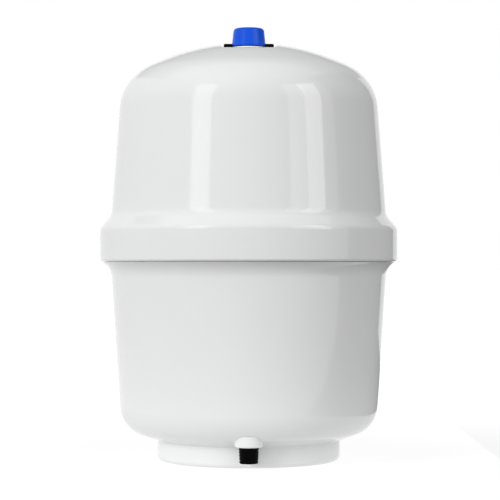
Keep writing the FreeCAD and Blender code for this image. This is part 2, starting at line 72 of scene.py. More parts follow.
class Section:
    """Half of a turned piece's section, drawn as a wire of vertices in the XZ plane, in mm."""

    def __init__(self, r, z):
        self.mesh = bmesh.new()
        self.pen = self.mesh.verts.new((r, 0, z))
        self.longest = 6.0  # the longest stretch of a line without a support vertex

    def line(self, r, z):
        """Draws a straight stretch, with support vertices where it is long."""
        start, end = self.pen.co.copy(), Vector((r, 0, z))
        if (end - start).length < 1e-4:
            return self
        runs = max(1, round((end - start).length / self.longest))
        for n in range(1, runs + 1):
            self.pen = bmesh.ops.extrude_vert_indiv(self.mesh, verts=[self.pen])["verts"][0]
            self.pen.co = start.lerp(end, n / runs)
        return self

    def swing(self, r, z, middle, step=4.0):
        """Draws an arc round middle to the point (r, z), the short way."""
        end, centre = Vector((r, 0, z)), Vector((middle[0], 0, middle[1]))
        before, after = self.pen.co - centre, end - centre
        turn = before.angle(after)
        if turn < 1e-5:
            return self
        if before.cross(after).y < 0:
            turn = -turn
        steps = max(2, round(abs(degrees(turn)) / step))
        arc = bmesh.ops.spin(self.mesh, geom=[self.pen], cent=centre, axis=(0, 1, 0),
                             angle=turn, steps=steps)
        self.pen = [part for part in arc["geom_last"] if isinstance(part, bmesh.types.BMVert)][0]
        return self

    def round(self, r, z, rounding, towards, step=9.0):
        """Draws up to the corner (r, z) and round it, ready to go on towards the next corner."""
        tip = Vector((r, 0, z))
        back = (self.pen.co - tip).normalized()
        ahead = (Vector((towards[0], 0, towards[1])) - tip).normalized()
        half = back.angle(ahead) / 2
        reach = rounding / tan(half)
        middle = tip + (back + ahead).normalized() * (rounding / sin(half))
        near, far = tip + back * reach, tip + ahead * reach
        self.line(near.x, near.z)
        return self.swing(far.x, far.z, (middle.x, middle.z), step)

    def turned(self, sides, at_y=0.0):
        """Turns the section once round, welds its seams and poles, and gives the mesh in mm, moved along y
        by at_y.
        """
        mesh = self.mesh
        bmesh.ops.remove_doubles(mesh, verts=mesh.verts, dist=1e-3)
        wire = list(mesh.verts) + list(mesh.edges)
        bmesh.ops.spin(mesh, geom=wire, cent=(0, 0, 0), axis=(0, 0, 1),
                       angle=2 * pi, steps=sides, use_merge=True)
        bmesh.ops.remove_doubles(mesh, verts=mesh.verts, dist=1e-3)
        bmesh.ops.dissolve_degenerate(mesh, edges=mesh.edges, dist=1e-5)
        bmesh.ops.recalc_face_normals(mesh, faces=mesh.faces)
        bmesh.ops.translate(mesh, vec=(0, at_y, 0), verts=mesh.verts)
        return mesh


class Dome:
    """A drafted wall, the corner arc over it and a shallow end dome, all tangent. side is 1 upwards."""

    def __init__(self, wall_at, draft, corner, end, end_z, side):
        lean = radians(draft)
        self.foot = Vector((wall_at[0], 0, wall_at[1]))
        self.along = Vector((-sin(lean), 0, side * cos(lean)))
        self.inward = Vector((-cos(lean), 0, -side * sin(lean)))
        self.corner, self.end, self.side = corner, end, side
        self.end_middle = Vector((0, 0, end_z - side * end))
        base = self.foot + self.inward * corner - self.end_middle
        half = base.dot(self.along)
        step = -half + sqrt(half * half - base.dot(base) + (end - corner) ** 2)
        self.corner_middle = base + self.end_middle + self.along * step

    def wall_radius(self, z, inset=0.0):
        """The drafted wall's radius at a height."""
        start = self.foot + self.inward * inset
        return (start + self.along * ((z - start.z) / self.along.z)).x

    def end_height(self, r, inset=0.0):
        """The end dome's height at a radius."""
        return self.end_middle.z + self.side * sqrt((self.end - inset) ** 2 - r * r)

    def corner_ends(self, inset):
        """Where the corner arc leaves the wall, and where it meets the end dome."""
        out = (self.corner_middle - self.end_middle).normalized()
        low = self.corner_middle - self.inward * (self.corner - inset)
        high = self.corner_middle + out * (self.corner - inset)
        return low, high

    def over(self, section, r, inset=0.0):
        """Draws from the wall, round the corner and along the end dome to radius r."""
        low, high = self.corner_ends(inset)
        section.line(low.x, low.z)
        section.swing(high.x, high.z, (self.corner_middle.x, self.corner_middle.z), step=2.0)
        return section.swing(r, self.end_height(r, inset), (0, self.end_middle.z), step=0.4)

    def back(self, section, inset=0.0):
        """Draws the same the other way: from the end dome, round the corner, to the wall."""
        low, high = self.corner_ends(inset)
        section.swing(high.x, high.z, (0, self.end_middle.z), step=1.5)
        return section.swing(low.x, low.z, (self.corner_middle.x, self.corner_middle.z), step=4.0)


sharp_angle = radians(35)


def add_piece(name, mesh, material):
    """Makes a bmesh drawn in mm into an object in metres, smooth but for its sharp edges."""
    bmesh.ops.scale(mesh, vec=(MM, MM, MM), verts=mesh.verts)
    data = bpy.data.meshes.new(name)
    mesh.to_mesh(data)
    mesh.free()
    data.shade_smooth()
    data.set_sharp_from_angle(angle=sharp_angle)
    data.materials.append(material)
    piece = bpy.data.objects.new(name, data)
    bpy.context.scene.collection.objects.link(piece)
    return piece


def new_group(name, inputs, outputs):
    """An empty shader node group with its named sockets."""
    group = bpy.data.node_groups.new(name, "ShaderNodeTree")
    for label, kind, value in inputs:
        socket = group.interface.new_socket(label, in_out="INPUT", socket_type=kind)
        socket.default_value = value
    for label, kind in outputs:
        group.interface.new_socket(label, in_out="OUTPUT", socket_type=kind)
    return group, group.nodes.new("NodeGroupInput"), group.nodes.new("NodeGroupOutput")


def moulded_skin():
    """Group: the fine orange peel, slow waves and faint mottling of a moulded surface."""
    number, colour = "NodeSocketFloat", "NodeSocketColor"
    group, given, out = new_group(
        "moulded_skin",
        [("Light", colour, (0.8, 0.8, 0.8, 1)), ("Shade", colour, (0.7, 0.7, 0.7, 1)),
         ("Smooth", number, 0.12), ("Rough", number, 0.2),
         ("Peel", number, 700.0), ("Waves", number, 14.0),
         ("Peel height", number, 0.1), ("Waves height", number, 1.0)],
        [("Color", colour), ("Roughness", number), ("Height", number)],
    )
    node, link = group.nodes.new, group.links.new
    place = node("ShaderNodeTexCoord")
    patches, peel, waves = (node("ShaderNodeTexNoise") for _ in range(3))
    for texture in (patches, peel, waves):
        link(place.outputs["Object"], texture.inputs["Vector"])
    patches.inputs["Scale"].default_value = 22.0
    patches.inputs["Detail"].default_value = 5.0
    link(given.outputs["Peel"], peel.inputs["Scale"])
    link(given.outputs["Waves"], waves.inputs["Scale"])
    waves.inputs["Detail"].default_value = 1.0
    tint = node("ShaderNodeMix")
    tint.data_type = "RGBA"
    link(patches.outputs["Fac"], tint.inputs["Factor"])
    link(given.outputs["Light"], tint.inputs["A"])
    link(given.outputs["Shade"], tint.inputs["B"])
    link(tint.outputs["Result"], out.inputs["Color"])
    polish = node("ShaderNodeMix")
    link(patches.outputs["Fac"], polish.inputs["Factor"])
    link(given.outputs["Smooth"], polish.inputs["A"])
    link(given.outputs["Rough"], polish.inputs["B"])
    link(polish.outputs["Result"], out.inputs["Roughness"])
    fine, slow, both = (node("ShaderNodeMath") for _ in range(3))
    fine.operation = slow.operation = "MULTIPLY"
    link(peel.outputs["Fac"], fine.inputs[0])
    link(given.outputs["Peel height"], fine.inputs[1])
    link(waves.outputs["Fac"], slow.inputs[0])
    link(given.outputs["Waves height"], slow.inputs[1])
    link(fine.outputs["Value"], both.inputs[0])
    link(slow.outputs["Value"], both.inputs[1])
    link(both.outputs["Value"], out.inputs["Height"])
    return group


skin_group = moulded_skin()


def plastic(name, light, shade, smooth, rough, bump=0.02, gloss=0.5, **skin):
    """A moulded plastic or rubber: the skin group over a plain shader. bump is in mm."""
    material = bpy.data.materials.new(name)
    material.use_nodes = True
    nodes, link = material.node_tree.nodes, material.node_tree.links.new
    shader = nodes["Principled BSDF"]
    shader.inputs["Specular IOR Level"].default_value = gloss
    group = nodes.new("ShaderNodeGroup")
    group.node_tree = skin_group
    group.inputs["Light"].default_value = (*light, 1)
    group.inputs["Shade"].default_value = (*shade, 1)
    group.inputs["Smooth"].default_value = smooth
    group.inputs["Rough"].default_value = rough
    for label, value in skin.items():
        group.inputs[label.replace("_", " ").capitalize()].default_value = value
    relief = nodes.new("ShaderNodeBump")
    relief.inputs["Strength"].default_value = 1.0
    relief.inputs["Distance"].default_value = bump * MM
    link(group.outputs["Color"], shader.inputs["Base Color"])
    link(group.outputs["Roughness"], shader.inputs["Roughness"])
    link(group.outputs["Height"], relief.inputs["Height"])
    link(relief.outputs["Normal"], shader.inputs["Normal"])
    return material


white_light, white_shade = (0.80, 0.803, 0.806), (0.778, 0.781, 0.785)
white_plastic = plastic("white_shell", white_light, white_shade, smooth=0.06, rough=0.10)
crown = Dome(upper_wall_at, upper_draft, shoulder_radius, crown_radius, crown_z, 1)
flare_radius = crown.wall_radius(flare_z)
flare_top = flare_z + flare_reach
seat_radius = sqrt((crown_radius - wall) ** 2 - (seat_z - crown.end_middle.z) ** 2)

upper = Section(belt_inner, belt_low_z)
upper.round(belt_radius, belt_low_z, belt_low_round, (belt_radius, belt_corner_z))
upper.round(belt_radius, belt_corner_z, belt_corner_round, (flare_radius, flare_z), step=4.0)
upper.round(flare_radius, flare_z, flare_round, (crown.wall_radius(flare_top), flare_top), step=3.0)
crown.over(upper, port_hole)
upper.line(port_hole, seat_z)
upper.line(seat_radius, seat_z)
crown.back(upper, wall)
upper.line(crown.wall_radius(ledge_z, wall), ledge_z)
upper.line(belt_inner, ledge_z)
upper.line(belt_inner, belt_low_z)
upper_mesh = upper.turned(shell_sides)

# A shallow flute runs front to back across the crown, round the flat land that the lock nut is
# let into. Fresh rows of vertices are cut along its sides, and the crown's vertices are let down.
land_z = 360.9
land_radius = 15.05
lug_half = 5.5
flute_half = 22.2
flute_fall = tan(radians(6.6))
flute_blend = 0.3
crown_low_z = 348.0
row_gap = 0.55
rows = range(-2, 7)
skin_reach = 0.05
over_seat_z = seat_z + 0.5
for side in (-1, 1):
    for row in rows:
        on_crown = [face for face in upper_mesh.faces if max(vert.co.z for vert in face.verts) > crown_low_z]
        touched = {part for face in on_crown for part in (*face.verts, *face.edges, face)}
        bmesh.ops.bisect_plane(upper_mesh, geom=list(touched), dist=1e-3,
                               plane_co=(side * (flute_half + row * row_gap), 0, 0), plane_no=(1, 0, 0))
for vert in upper_mesh.verts:
    on_skin = abs(vert.co.z - crown.end_height(vert.co.xy.length)) < skin_reach
    if on_skin or vert.co.z > over_seat_z:
        flute_z = land_z - max(0, abs(vert.co.y) - lug_half) * flute_fall
        flute_z += max(0, abs(vert.co.x) - flute_half)
        gap = vert.co.z - flute_z
        vert.co.z -= (gap + sqrt(gap * gap + flute_blend ** 2)) / 2
upper_shell = add_piece("upper_shell_skin", upper_mesh, white_plastic)


def turned_tool(corners, sides=64, at_y=0.0, material=white_plastic):
    """A turned solid from plain (radius, height) corners, to join to a piece or cut from it."""
    section = Section(*corners[0])
    for corner in corners[1:]:
        section.line(*corner)
    section.line(*corners[0])
    return add_piece("tool", section.turned(sides, at_y), material)


def rod_tool(radius, low, high, sides=64, at_y=0.0, material=white_plastic):
    """A plain round tool between two heights."""
    return turned_tool([(0, low), (radius, low), (radius, high), (0, high)], sides, at_y, material)


def block_tool(low, high, material=white_plastic):
    """A block from its lowest to its highest corner."""
    block = bmesh.new()
    bmesh.ops.create_cube(block, size=1.0)
    middle = [(a + b) / 2 for a, b in zip(low, high)]
    bmesh.ops.scale(block, vec=[b - a for a, b in zip(low, high)], verts=block.verts)
    bmesh.ops.translate(block, vec=middle, verts=block.verts)
    return add_piece("tool", block, material)


weld_reach = 0.0001 * MM


def combine(piece, tool, operation, weld=False):
    """Joins a tool to a piece or cuts it away, removes the tool, and can weld doubled vertices."""
    change = piece.modifiers.new("combine", "BOOLEAN")
    change.operation = operation
    change.solver = "EXACT"
    change.object = tool
    worked_out = piece.evaluated_get(bpy.context.evaluated_depsgraph_get())
    shaped = bpy.data.meshes.new_from_object(worked_out)
    if weld:
        welded = bmesh.new()
        welded.from_mesh(shaped)
        bmesh.ops.remove_doubles(welded, verts=welded.verts, dist=weld_reach)
        welded.to_mesh(shaped)
        welded.free()
    piece.modifiers.clear()
    piece.data = shaped
    piece.data.set_sharp_from_angle(angle=sharp_angle)
    bpy.data.objects.remove(tool)


nut_gap = 0.2
nut_radius = 13.9
pocket_z = 359.4
land_depth = 3.0
slot_half = lug_half + nut_gap
under_crown_z, over_crown_z = 350.0, 370.0
slot_low = (-flute_half, -slot_half, pocket_z)
slot_high = (flute_half, slot_half, over_crown_z)
combine(upper_shell, rod_tool(land_radius, pocket_z - land_depth, land_z, 128), "UNION")
combine(upper_shell, rod_tool(nut_radius + nut_gap, pocket_z, over_crown_z, 96), "DIFFERENCE")
combine(upper_shell, block_tool(slot_low, slot_high), "DIFFERENCE")
combine(upper_shell, rod_tool(port_hole, under_crown_z, over_crown_z), "DIFFERENCE")
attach(upper_shell, "tank")
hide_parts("upper_shell")


# Lower shell and foot ring: the white moulded half below the belt. It flares up to the belt in a
# cove, and carries the ring under its bottom dome and the boss that the air valve passes through.
lower_wall_at = (119.8, 157.0)
lower_draft = 3.7
heel_radius = 26.0
bottom_radius = 262.0
bottom_z = 5.4
neck_radius = 125.85
neck_z = 192.5
lip_z = 172.7
lip_radius = 127.9
lip_round = 0.15
cove_z = 167.6
cove_round = 16.0
foot_radius = 79.7
foot_inner = 71.7
foot_round = 4.5
foot_fillet = 0.6
foot_inner_round = 0.8
foot_lead = 0.8
valve_y = -93.0
boss_radius = 12.0
boss_low_z = 19.28
boss_round = 1.6
web_bite = 4.0
valve_seat_z = 28.68
stem_hole = 4.65
spot_radius = 8.5
spot_high_z = 40.0
stem_way_low_z, stem_way_high_z = 10.0, 50.0
bottom = Dome(lower_wall_at, lower_draft, heel_radius, bottom_radius, bottom_z, -1)
cove_radius = bottom.wall_radius(cove_z)
cove_low = cove_z - cove_round

lower = Section(neck_radius, neck_z)
lower.line(neck_radius, lip_z)
lower.round(lip_radius, lip_z, lip_round, (cove_radius, cove_z), step=20.0)
lower.round(cove_radius, cove_z, cove_round, (bottom.wall_radius(cove_low), cove_low), step=3.0)
bottom.over(lower, foot_radius + foot_lead)
lower.round(foot_radius, bottom.end_height(foot_radius), foot_fillet, (foot_radius, 0), step=20.0)
lower.round(foot_radius, 0, foot_round, (foot_inner, 0), step=7.0)
lower.round(foot_inner, 0, foot_inner_round, (foot_inner, bottom.end_height(foot_inner)), step=20.0)
lower.line(foot_inner, bottom.end_height(foot_inner))
lower.swing(0, bottom_z, (0, bottom.end_middle.z), step=1.0)
lower.line(0, bottom_z + wall)
bottom.back(lower, wall)
lower.line(bottom.wall_radius(neck_z, wall), neck_z)
lower.line(neck_radius, neck_z)
lower_shell = add_piece("lower_shell_skin", lower.turned(shell_sides), white_plastic)


def bevel_edges(mesh, edges, size, segments):
    """Rounds edges of a mesh in metres by a size in mm."""
    bmesh.ops.bevel(mesh, geom=edges, offset=size * MM, offset_type="OFFSET", affect="EDGES",
                    segments=segments, profile=0.5, material=-1, clamp_overlap=True)


# The boss under the front of the dome is round in front, and its web runs back to the foot ring.
nose = Section(0, boss_low_z)
nose.round(boss_radius, boss_low_z, boss_round, (boss_radius, valve_seat_z), step=12.0)
nose.line(boss_radius, valve_seat_z)
nose.line(0, valve_seat_z)
boss = add_piece("boss", nose.turned(96, valve_y), white_plastic)
web = block_tool((-boss_radius, valve_y, boss_low_z), (boss_radius, -foot_radius + web_bite, valve_seat_z))
rounded = bmesh.new()
rounded.from_mesh(web.data)
low_edges = [edge for edge in rounded.edges if max(vert.co.z for vert in edge.verts) < (boss_low_z + 1) * MM]
low_sides = [edge for edge in low_edges if abs(edge.verts[0].co.x - edge.verts[1].co.x) < MM]
bevel_edges(rounded, low_sides, boss_round, 8)
rounded.to_mesh(web.data)
rounded.free()
combine(boss, web, "UNION")
combine(lower_shell, boss, "UNION")
combine(lower_shell, rod_tool(spot_radius, valve_seat_z, spot_high_z, at_y=valve_y), "DIFFERENCE")
combine(lower_shell, rod_tool(stem_hole, stem_way_low_z, stem_way_high_z, at_y=valve_y), "DIFFERENCE")
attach(lower_shell, "tank")
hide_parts("lower_shell", "foot_ring")


# Port cap: the blue push-on cap that keeps dust out of the water port. Moulded in soft
# polyethylene, with a rim band, a rounded top, and a sleeve and ribs inside that grip the port.
cap_low_z = 361.7
cap_band_z = 364.6
cap_top_z = 377.8
cap_radius = 15.05
cap_wall_radius = 14.7
cap_top_radius = 13.25
cap_wall = 1.6
cap_top_round = 2.8
cap_band_step = 0.35
cap_band_round = 0.3
cap_rim_round = 0.8
cap_mouth_round = 0.4
cap_roof_round = 1.2
cap_roof_z = cap_top_z - cap_wall
cap_mouth = cap_radius - cap_wall
cap_roof_radius = cap_top_radius - cap_wall
sleeve_in, sleeve_out = 6.95, 8.35
sleeve_length = 9.0
sleeve_low_z = cap_roof_z - sleeve_length
rib_count = 8
rib_width = 1.0
rib_height = 8.0
rib_bite = 0.8
rib_drop = 3.2
blue_light, blue_shade = (0.002, 0.088, 0.700), (0.001, 0.075, 0.630)
blue_plastic = plastic("blue_cap", blue_light, blue_shade, smooth=0.24, rough=0.36,
                       bump=0.03, gloss=0.2, peel=1400.0)
cap = Section(0, cap_top_z)
cap.longest = 2.0
cap.round(cap_top_radius, cap_top_z, cap_top_round, (cap_wall_radius, cap_band_z), step=8.0)
cap.round(cap_wall_radius, cap_band_z, cap_band_round, (cap_radius, cap_band_z - cap_band_step), step=15.0)
cap.round(cap_radius, cap_band_z - cap_band_step, cap_band_round, (cap_radius, cap_low_z), step=15.0)
cap.round(cap_radius, cap_low_z, cap_rim_round, (cap_mouth, cap_low_z), step=12.0)
cap.round(cap_mouth, cap_low_z, cap_mouth_round, (cap_roof_radius, cap_roof_z), step=20.0)
cap.round(cap_roof_radius, cap_roof_z, cap_roof_round, (sleeve_out, cap_roof_z), step=15.0)
cap.line(sleeve_out, cap_roof_z)
cap.line(sleeve_out, sleeve_low_z)
cap.line(sleeve_in, sleeve_low_z)
cap.line(sleeve_in, cap_roof_z)
cap.line(0, cap_roof_z)
port_cap = add_piece("port_cap_skin", cap.turned(128), blue_plastic)
ribs = bmesh.new()
rib_size = (cap_roof_radius - sleeve_out + rib_bite, rib_width, rib_height)
rib_middle = ((cap_roof_radius + sleeve_out) / 2, 0, cap_roof_z - rib_drop)
for n in range(rib_count):
    turn = Matrix.Rotation(2 * pi * (n + 0.5) / rib_count, 3, "Z")
    rib = bmesh.ops.create_cube(ribs, size=1.0)["verts"]
    bmesh.ops.scale(ribs, vec=rib_size, verts=rib)
    bmesh.ops.translate(ribs, vec=rib_middle, verts=rib)
    bmesh.ops.rotate(ribs, cent=(0, 0, 0), matrix=turn, verts=rib)
combine(port_cap, add_piece("ribs", ribs, blue_plastic), "UNION")
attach(port_cap, "port_cap")
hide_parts("port_cap")


# Water port: the turned stainless nipple that the blue cap covers, with its pipe thread rolled
# above the lock nut. Its flange is inside the tank, under the crown.
thread_crest, thread_root, pipe_pitch = 6.85, 6.05, 1.411
port_flange_radius = 18.0
port_edge_round = 0.5
port_flange_low_z, port_flange_high_z, port_top_z = 348.5, 351.0, 374.3
port_recess_radius, port_recess_depth = 10.0, 1.5
port_bore, port_bore_round = 3.6, 0.6
shank_high_z, thread_low_z = 361.4, 362.2
pipe_lead_in, pipe_run_out = 0.2, 1.1
port_recess_z = port_flange_low_z + port_recess_depth
steel_light, steel_shade = (0.62, 0.61, 0.59), (0.50, 0.49, 0.475)


def turned_metal(name, light, shade, smooth, rough, scale=900.0):
    """A turned metal: fine rings round the piece in its roughness and relief."""
    material = bpy.data.materials.new(name)
    material.use_nodes = True
    nodes, link = material.node_tree.nodes, material.node_tree.links.new
    shader = nodes["Principled BSDF"]
    shader.inputs["Metallic"].default_value = 1.0
    place, stretch, rings, tint, polish, relief = (
        nodes.new("ShaderNode" + kind) for kind in ("TexCoord", "Mapping", "TexNoise", "Mix", "Mix", "Bump")
    )
    stretch.inputs["Scale"].default_value = (0.04, 0.04, 1.0)
    link(place.outputs["Object"], stretch.inputs["Vector"])
    link(stretch.outputs["Vector"], rings.inputs["Vector"])
    rings.inputs["Scale"].default_value = scale
    rings.inputs["Detail"].default_value = 4.0
    tint.data_type = "RGBA"
    tint.inputs["A"].default_value, tint.inputs["B"].default_value = (*light, 1), (*shade, 1)
    polish.inputs["A"].default_value, polish.inputs["B"].default_value = smooth, rough
    relief.inputs["Distance"].default_value = 0.01 * MM
    for target in (tint.inputs["Factor"], polish.inputs["Factor"], relief.inputs["Height"]):
        link(rings.outputs["Fac"], target)
    link(tint.outputs["Result"], shader.inputs["Base Color"])
    link(polish.outputs["Result"], shader.inputs["Roughness"])
    link(relief.outputs["Normal"], shader.inputs["Normal"])
    return material


def thread_ridge(mesh, root, crest, pitch, low, high, steps_a_turn=64):
    """Winds a thread's ridge up a shank: its section, with a narrow flat crest, is swept round and up."""
    foot_half, crest_half = pitch * 0.4, pitch * 0.06
    sunk = root - 0.15
    corners = [(sunk, -foot_half), (crest, -crest_half), (crest, crest_half), (sunk, foot_half)]
    wire = [mesh.verts.new((r, 0, low + z)) for r, z in corners]
    edges = [mesh.edges.new((a, b)) for a, b in zip(wire, wire[1:] + wire[:1])]
    start = bmesh.ops.contextual_create(mesh, geom=edges)["faces"]
    turns = (high - low) / pitch
    steps = round(turns * steps_a_turn)
    bmesh.ops.spin(mesh, geom=start, cent=(0, 0, 0), axis=(0, 0, 1), dvec=(0, 0, (high - low) / steps),
                   angle=2 * pi * turns, steps=steps)


stainless = turned_metal("stainless", steel_light, steel_shade, smooth=0.18, rough=0.34)
port = Section(port_bore, port_recess_z)
port.line(port_recess_radius, port_recess_z)
port.line(port_recess_radius, port_flange_low_z)
for z, towards in (
    (port_flange_low_z, (port_flange_radius, port_flange_high_z)),
    (port_flange_high_z, (thread_crest, port_flange_high_z)),
):
    port.round(port_flange_radius, z, port_edge_round, towards, step=15.0)
port.line(thread_crest, port_flange_high_z)
port.line(thread_crest, shank_high_z)
port.line(thread_root, thread_low_z)
port.round(thread_root, port_top_z, port_edge_round, (port_bore, port_top_z), step=15.0)
port.round(port_bore, port_top_z, port_bore_round, (port_bore, port_recess_z), step=15.0)
port.line(port_bore, port_recess_z)
port_mesh = port.turned(96)
thread_ridge(port_mesh, thread_root, thread_crest, pipe_pitch,
             thread_low_z + pipe_lead_in, port_top_z - pipe_run_out)
bmesh.ops.recalc_face_normals(port_mesh, faces=port_mesh.faces)
water_port = add_piece("water_port", port_mesh, stainless)
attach(water_port, "tank")
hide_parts("port_fitting")


# Lock nut: the black moulded nut that clamps the water port in the crown. The blue cap stands on
# its round flange, a hexagonal collar rises inside the cap, and a lug stands up at each side.
nut_top_z = 361.6
nut_bore = 7.0
wing_top_z = 361.0
wing_inset = 0.5
collar_top_z = 365.0
collar_flat = 10.0
collar_crown = 13.5
collar_crown_fall = 1.95
lug_top_z = 364.0
lug_inside = 15.45
lug_end = 22.0
lug_round = 1.3
black_light, black_shade = (0.0016, 0.0016, 0.0018), (0.0010, 0.0010, 0.0011)
black_plastic = plastic("black_plastic", black_light, black_shade, smooth=0.36, rough=0.5,
                        bump=0.05, gloss=0.03, peel=1600.0)
nut_look = {"sides": 96, "material": black_plastic}


def soften(piece, size, segments):
    """Rounds a block's edges, and insets its flats so that they shade as flats."""
    mesh = bmesh.new()
    mesh.from_mesh(piece.data)
    bevel_edges(mesh, mesh.edges[:], size, segments)
    least_area, inset = (2 * MM) ** 2, 0.05 * MM
    flats = [face for face in mesh.faces if face.calc_area() > least_area]
    bmesh.ops.inset_individual(mesh, faces=flats, thickness=inset)
    bmesh.ops.recalc_face_normals(mesh, faces=mesh.faces)
    mesh.to_mesh(piece.data)
    mesh.free()
    piece.data.shade_smooth()
    piece.data.set_sharp_from_angle(angle=sharp_angle)


def hexagon_tool(flat, low, high, at_y, material):
    """A hexagonal block with its flats at the given radius."""
    block = bmesh.new()
    corner = flat / cos(pi / 6)
    bmesh.ops.create_cone(block, cap_ends=True, segments=6, radius1=corner, radius2=corner, depth=high - low)
    bmesh.ops.rotate(block, cent=(0, 0, 0), matrix=Matrix.Rotation(pi / 6, 3, "Z"), verts=block.verts)
    bmesh.ops.translate(block, vec=(0, at_y, (low + high) / 2), verts=block.verts)
    return add_piece("hexagon", block, material)


# The flange, the wings, the collar and the lugs each start at a height of their own, so that no two
# of them have faces in one plane where they are joined.
wing_low_z, collar_low_z, lug_low_z = pocket_z + 0.1, pocket_z + 0.2, pocket_z + 0.3
lock_nut = rod_tool(nut_radius, pocket_z, nut_top_z, **nut_look)
collar = hexagon_tool(collar_flat, collar_low_z, collar_top_z, 0.0, black_plastic)
crowned = [
    (0, pocket_z), (collar_crown, pocket_z), (collar_crown, collar_top_z - collar_crown_fall),
    (collar_flat, collar_top_z), (0, collar_top_z),
]
combine(collar, turned_tool(crowned, **nut_look), "INTERSECT", weld=True)
combine(lock_nut, collar, "UNION", weld=True)
wing_low = (-lug_end + wing_inset, -lug_half + wing_inset, wing_low_z)
wing_high = (lug_end - wing_inset, lug_half - wing_inset, wing_top_z)
combine(lock_nut, block_tool(wing_low, wing_high, black_plastic), "UNION", weld=True)
lugs = block_tool((-lug_end, -lug_half, lug_low_z), (lug_end, lug_half, lug_top_z), black_plastic)
soften(lugs, lug_round, 5)
combine(lugs, rod_tool(lug_inside, pocket_z - 1, lug_top_z + 1, **nut_look), "DIFFERENCE", weld=True)
combine(lock_nut, lugs, "UNION", weld=True)
combine(lock_nut, rod_tool(nut_bore, under_crown_z, over_crown_z, **nut_look), "DIFFERENCE", weld=True)
lock_nut.name = "lock_nut"
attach(lock_nut, "tank")
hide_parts("port_lock_nut")


# Valve cap: the black screw cap under the boss, with shallow grip grooves round it. Its wide
# mouth takes the valve's nut, and its bore screws onto the valve's tip.
lid_low_z = 5.78
lid_high_z = 19.18
lid_radius = 8.34
lid_low_radius = 7.74
lid_mouth = 6.94
lid_shoulder_z = 14.88
lid_bore = 3.93
lid_floor_z = 7.48
lid_low_round = 0.9
lid_rim_round = 0.3
groove_depth = 0.3
grooves = 4
lid = Section(0, lid_low_z)
lid.longest = 1.5
lid.round(lid_low_radius, lid_low_z, lid_low_round, (lid_radius, lid_high_z), step=12.0)
for n in range(grooves):
    share = (n + 1) / (grooves + 1)
    height = lid_low_z + (lid_high_z - lid_low_z) * share
    radius = lid_low_radius + (lid_radius - lid_low_radius) * share
    middle = (radius + 1.2 * groove_depth, height)
    lid.line(radius, height - 2 * groove_depth)
    lid.swing(radius - groove_depth, height, middle, step=20.0)
    lid.swing(radius, height + 2 * groove_depth, middle, step=20.0)
lid.round(lid_radius, lid_high_z, lid_rim_round, (lid_mouth, lid_high_z), step=20.0)
lid.round(lid_mouth, lid_high_z, lid_rim_round, (lid_mouth, lid_shoulder_z), step=20.0)
lid.line(lid_mouth, lid_shoulder_z)
lid.line(lid_bore, lid_shoulder_z)
lid.line(lid_bore, lid_floor_z)
lid.line(0, lid_floor_z)
valve_cap = add_piece("valve_cap_skin", lid.turned(96, valve_y), black_plastic)
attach(valve_cap, "valve_cap")
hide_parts("valve_cap")


# Air valve: the brass stem that is turned from bar and pulled through the boss from inside. It
# carries the valve's core, and its threaded tip shows only when the black cap is off.
stem_tip_z, stem_neck_z, stem_top_z = 8.58, 15.18, 32.18
stem_flange_z = 30.18
stem_tip, stem_shank, stem_flange = 3.85, 4.5, 7.5
stem_tip_round, stem_round = 0.2, 0.3
tip_thread_root, valve_pitch = 3.45, 0.794
tip_lead_in, tip_run_out = 0.6, 0.5
core_mouth, core_mouth_z = 2.7, 13.58
stem_bore, stem_bore_z = 2.15, 14.98
brass_light, brass_shade = (0.80, 0.58, 0.27), (0.66, 0.45, 0.19)
brass = turned_metal("brass", brass_light, brass_shade, smooth=0.22, rough=0.38)
stem = Section(core_mouth, stem_tip_z)
stem.longest = 1.5
stem.round(tip_thread_root, stem_tip_z, stem_tip_round, (tip_thread_root, stem_neck_z), step=15.0)
stem.line(tip_thread_root, stem_neck_z)
stem.round(stem_shank, stem_neck_z, stem_round, (stem_shank, stem_flange_z), step=15.0)
stem.line(stem_shank, stem_flange_z)
stem.round(stem_flange, stem_flange_z, stem_round, (stem_flange, stem_top_z), step=15.0)
stem.round(stem_flange, stem_top_z, stem_round, (stem_bore, stem_top_z), step=15.0)
stem.round(stem_bore, stem_top_z, stem_round, (stem_bore, stem_bore_z), step=15.0)
stem.line(stem_bore, stem_bore_z)
stem.line(core_mouth, core_mouth_z)
stem.line(core_mouth, stem_tip_z)
stem_mesh = stem.turned(72)
tip_thread = bmesh.new()
thread_ridge(tip_thread, tip_thread_root, stem_tip, valve_pitch,
             stem_tip_z + tip_lead_in, stem_neck_z - tip_run_out)
bmesh.ops.recalc_face_normals(tip_thread, faces=tip_thread.faces)
air_valve = add_piece("air_valve", stem_mesh, brass)
combine(air_valve, add_piece("thread", tip_thread, brass), "UNION")
air_valve.data.transform(Matrix.Translation((0, valve_y * MM, 0)))
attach(air_valve, "tank")
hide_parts("valve_stem")


# Valve nut: the brass hexagon nut that draws the stem down against the boss. It is milled from
# bar, with its lower corners turned off, and the black cap's wide mouth covers it.
valve_nut_low_z, valve_nut_high_z = 15.48, 18.48
valve_nut_flat, valve_nut_corner, valve_nut_bore = 5.75, 6.64, 4.58
valve_nut_chamfer = 0.45
air_nut = hexagon_tool(valve_nut_flat, valve_nut_low_z, valve_nut_high_z, valve_y, brass)
nut_crown = [
    (0, valve_nut_low_z), (valve_nut_flat, valve_nut_low_z),
    (valve_nut_corner, valve_nut_low_z + valve_nut_chamfer), (valve_nut_corner, valve_nut_high_z),
    (0, valve_nut_high_z),
]
valve_nut_way = rod_tool(valve_nut_bore, stem_way_low_z, stem_top_z, 48, valve_y, brass)
combine(air_nut, turned_tool(nut_crown, 72, valve_y, brass), "INTERSECT", weld=True)
combine(air_nut, valve_nut_way, "DIFFERENCE", weld=True)
air_nut.name = "air_nut"
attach(air_nut, "tank")
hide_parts("valve_nut")
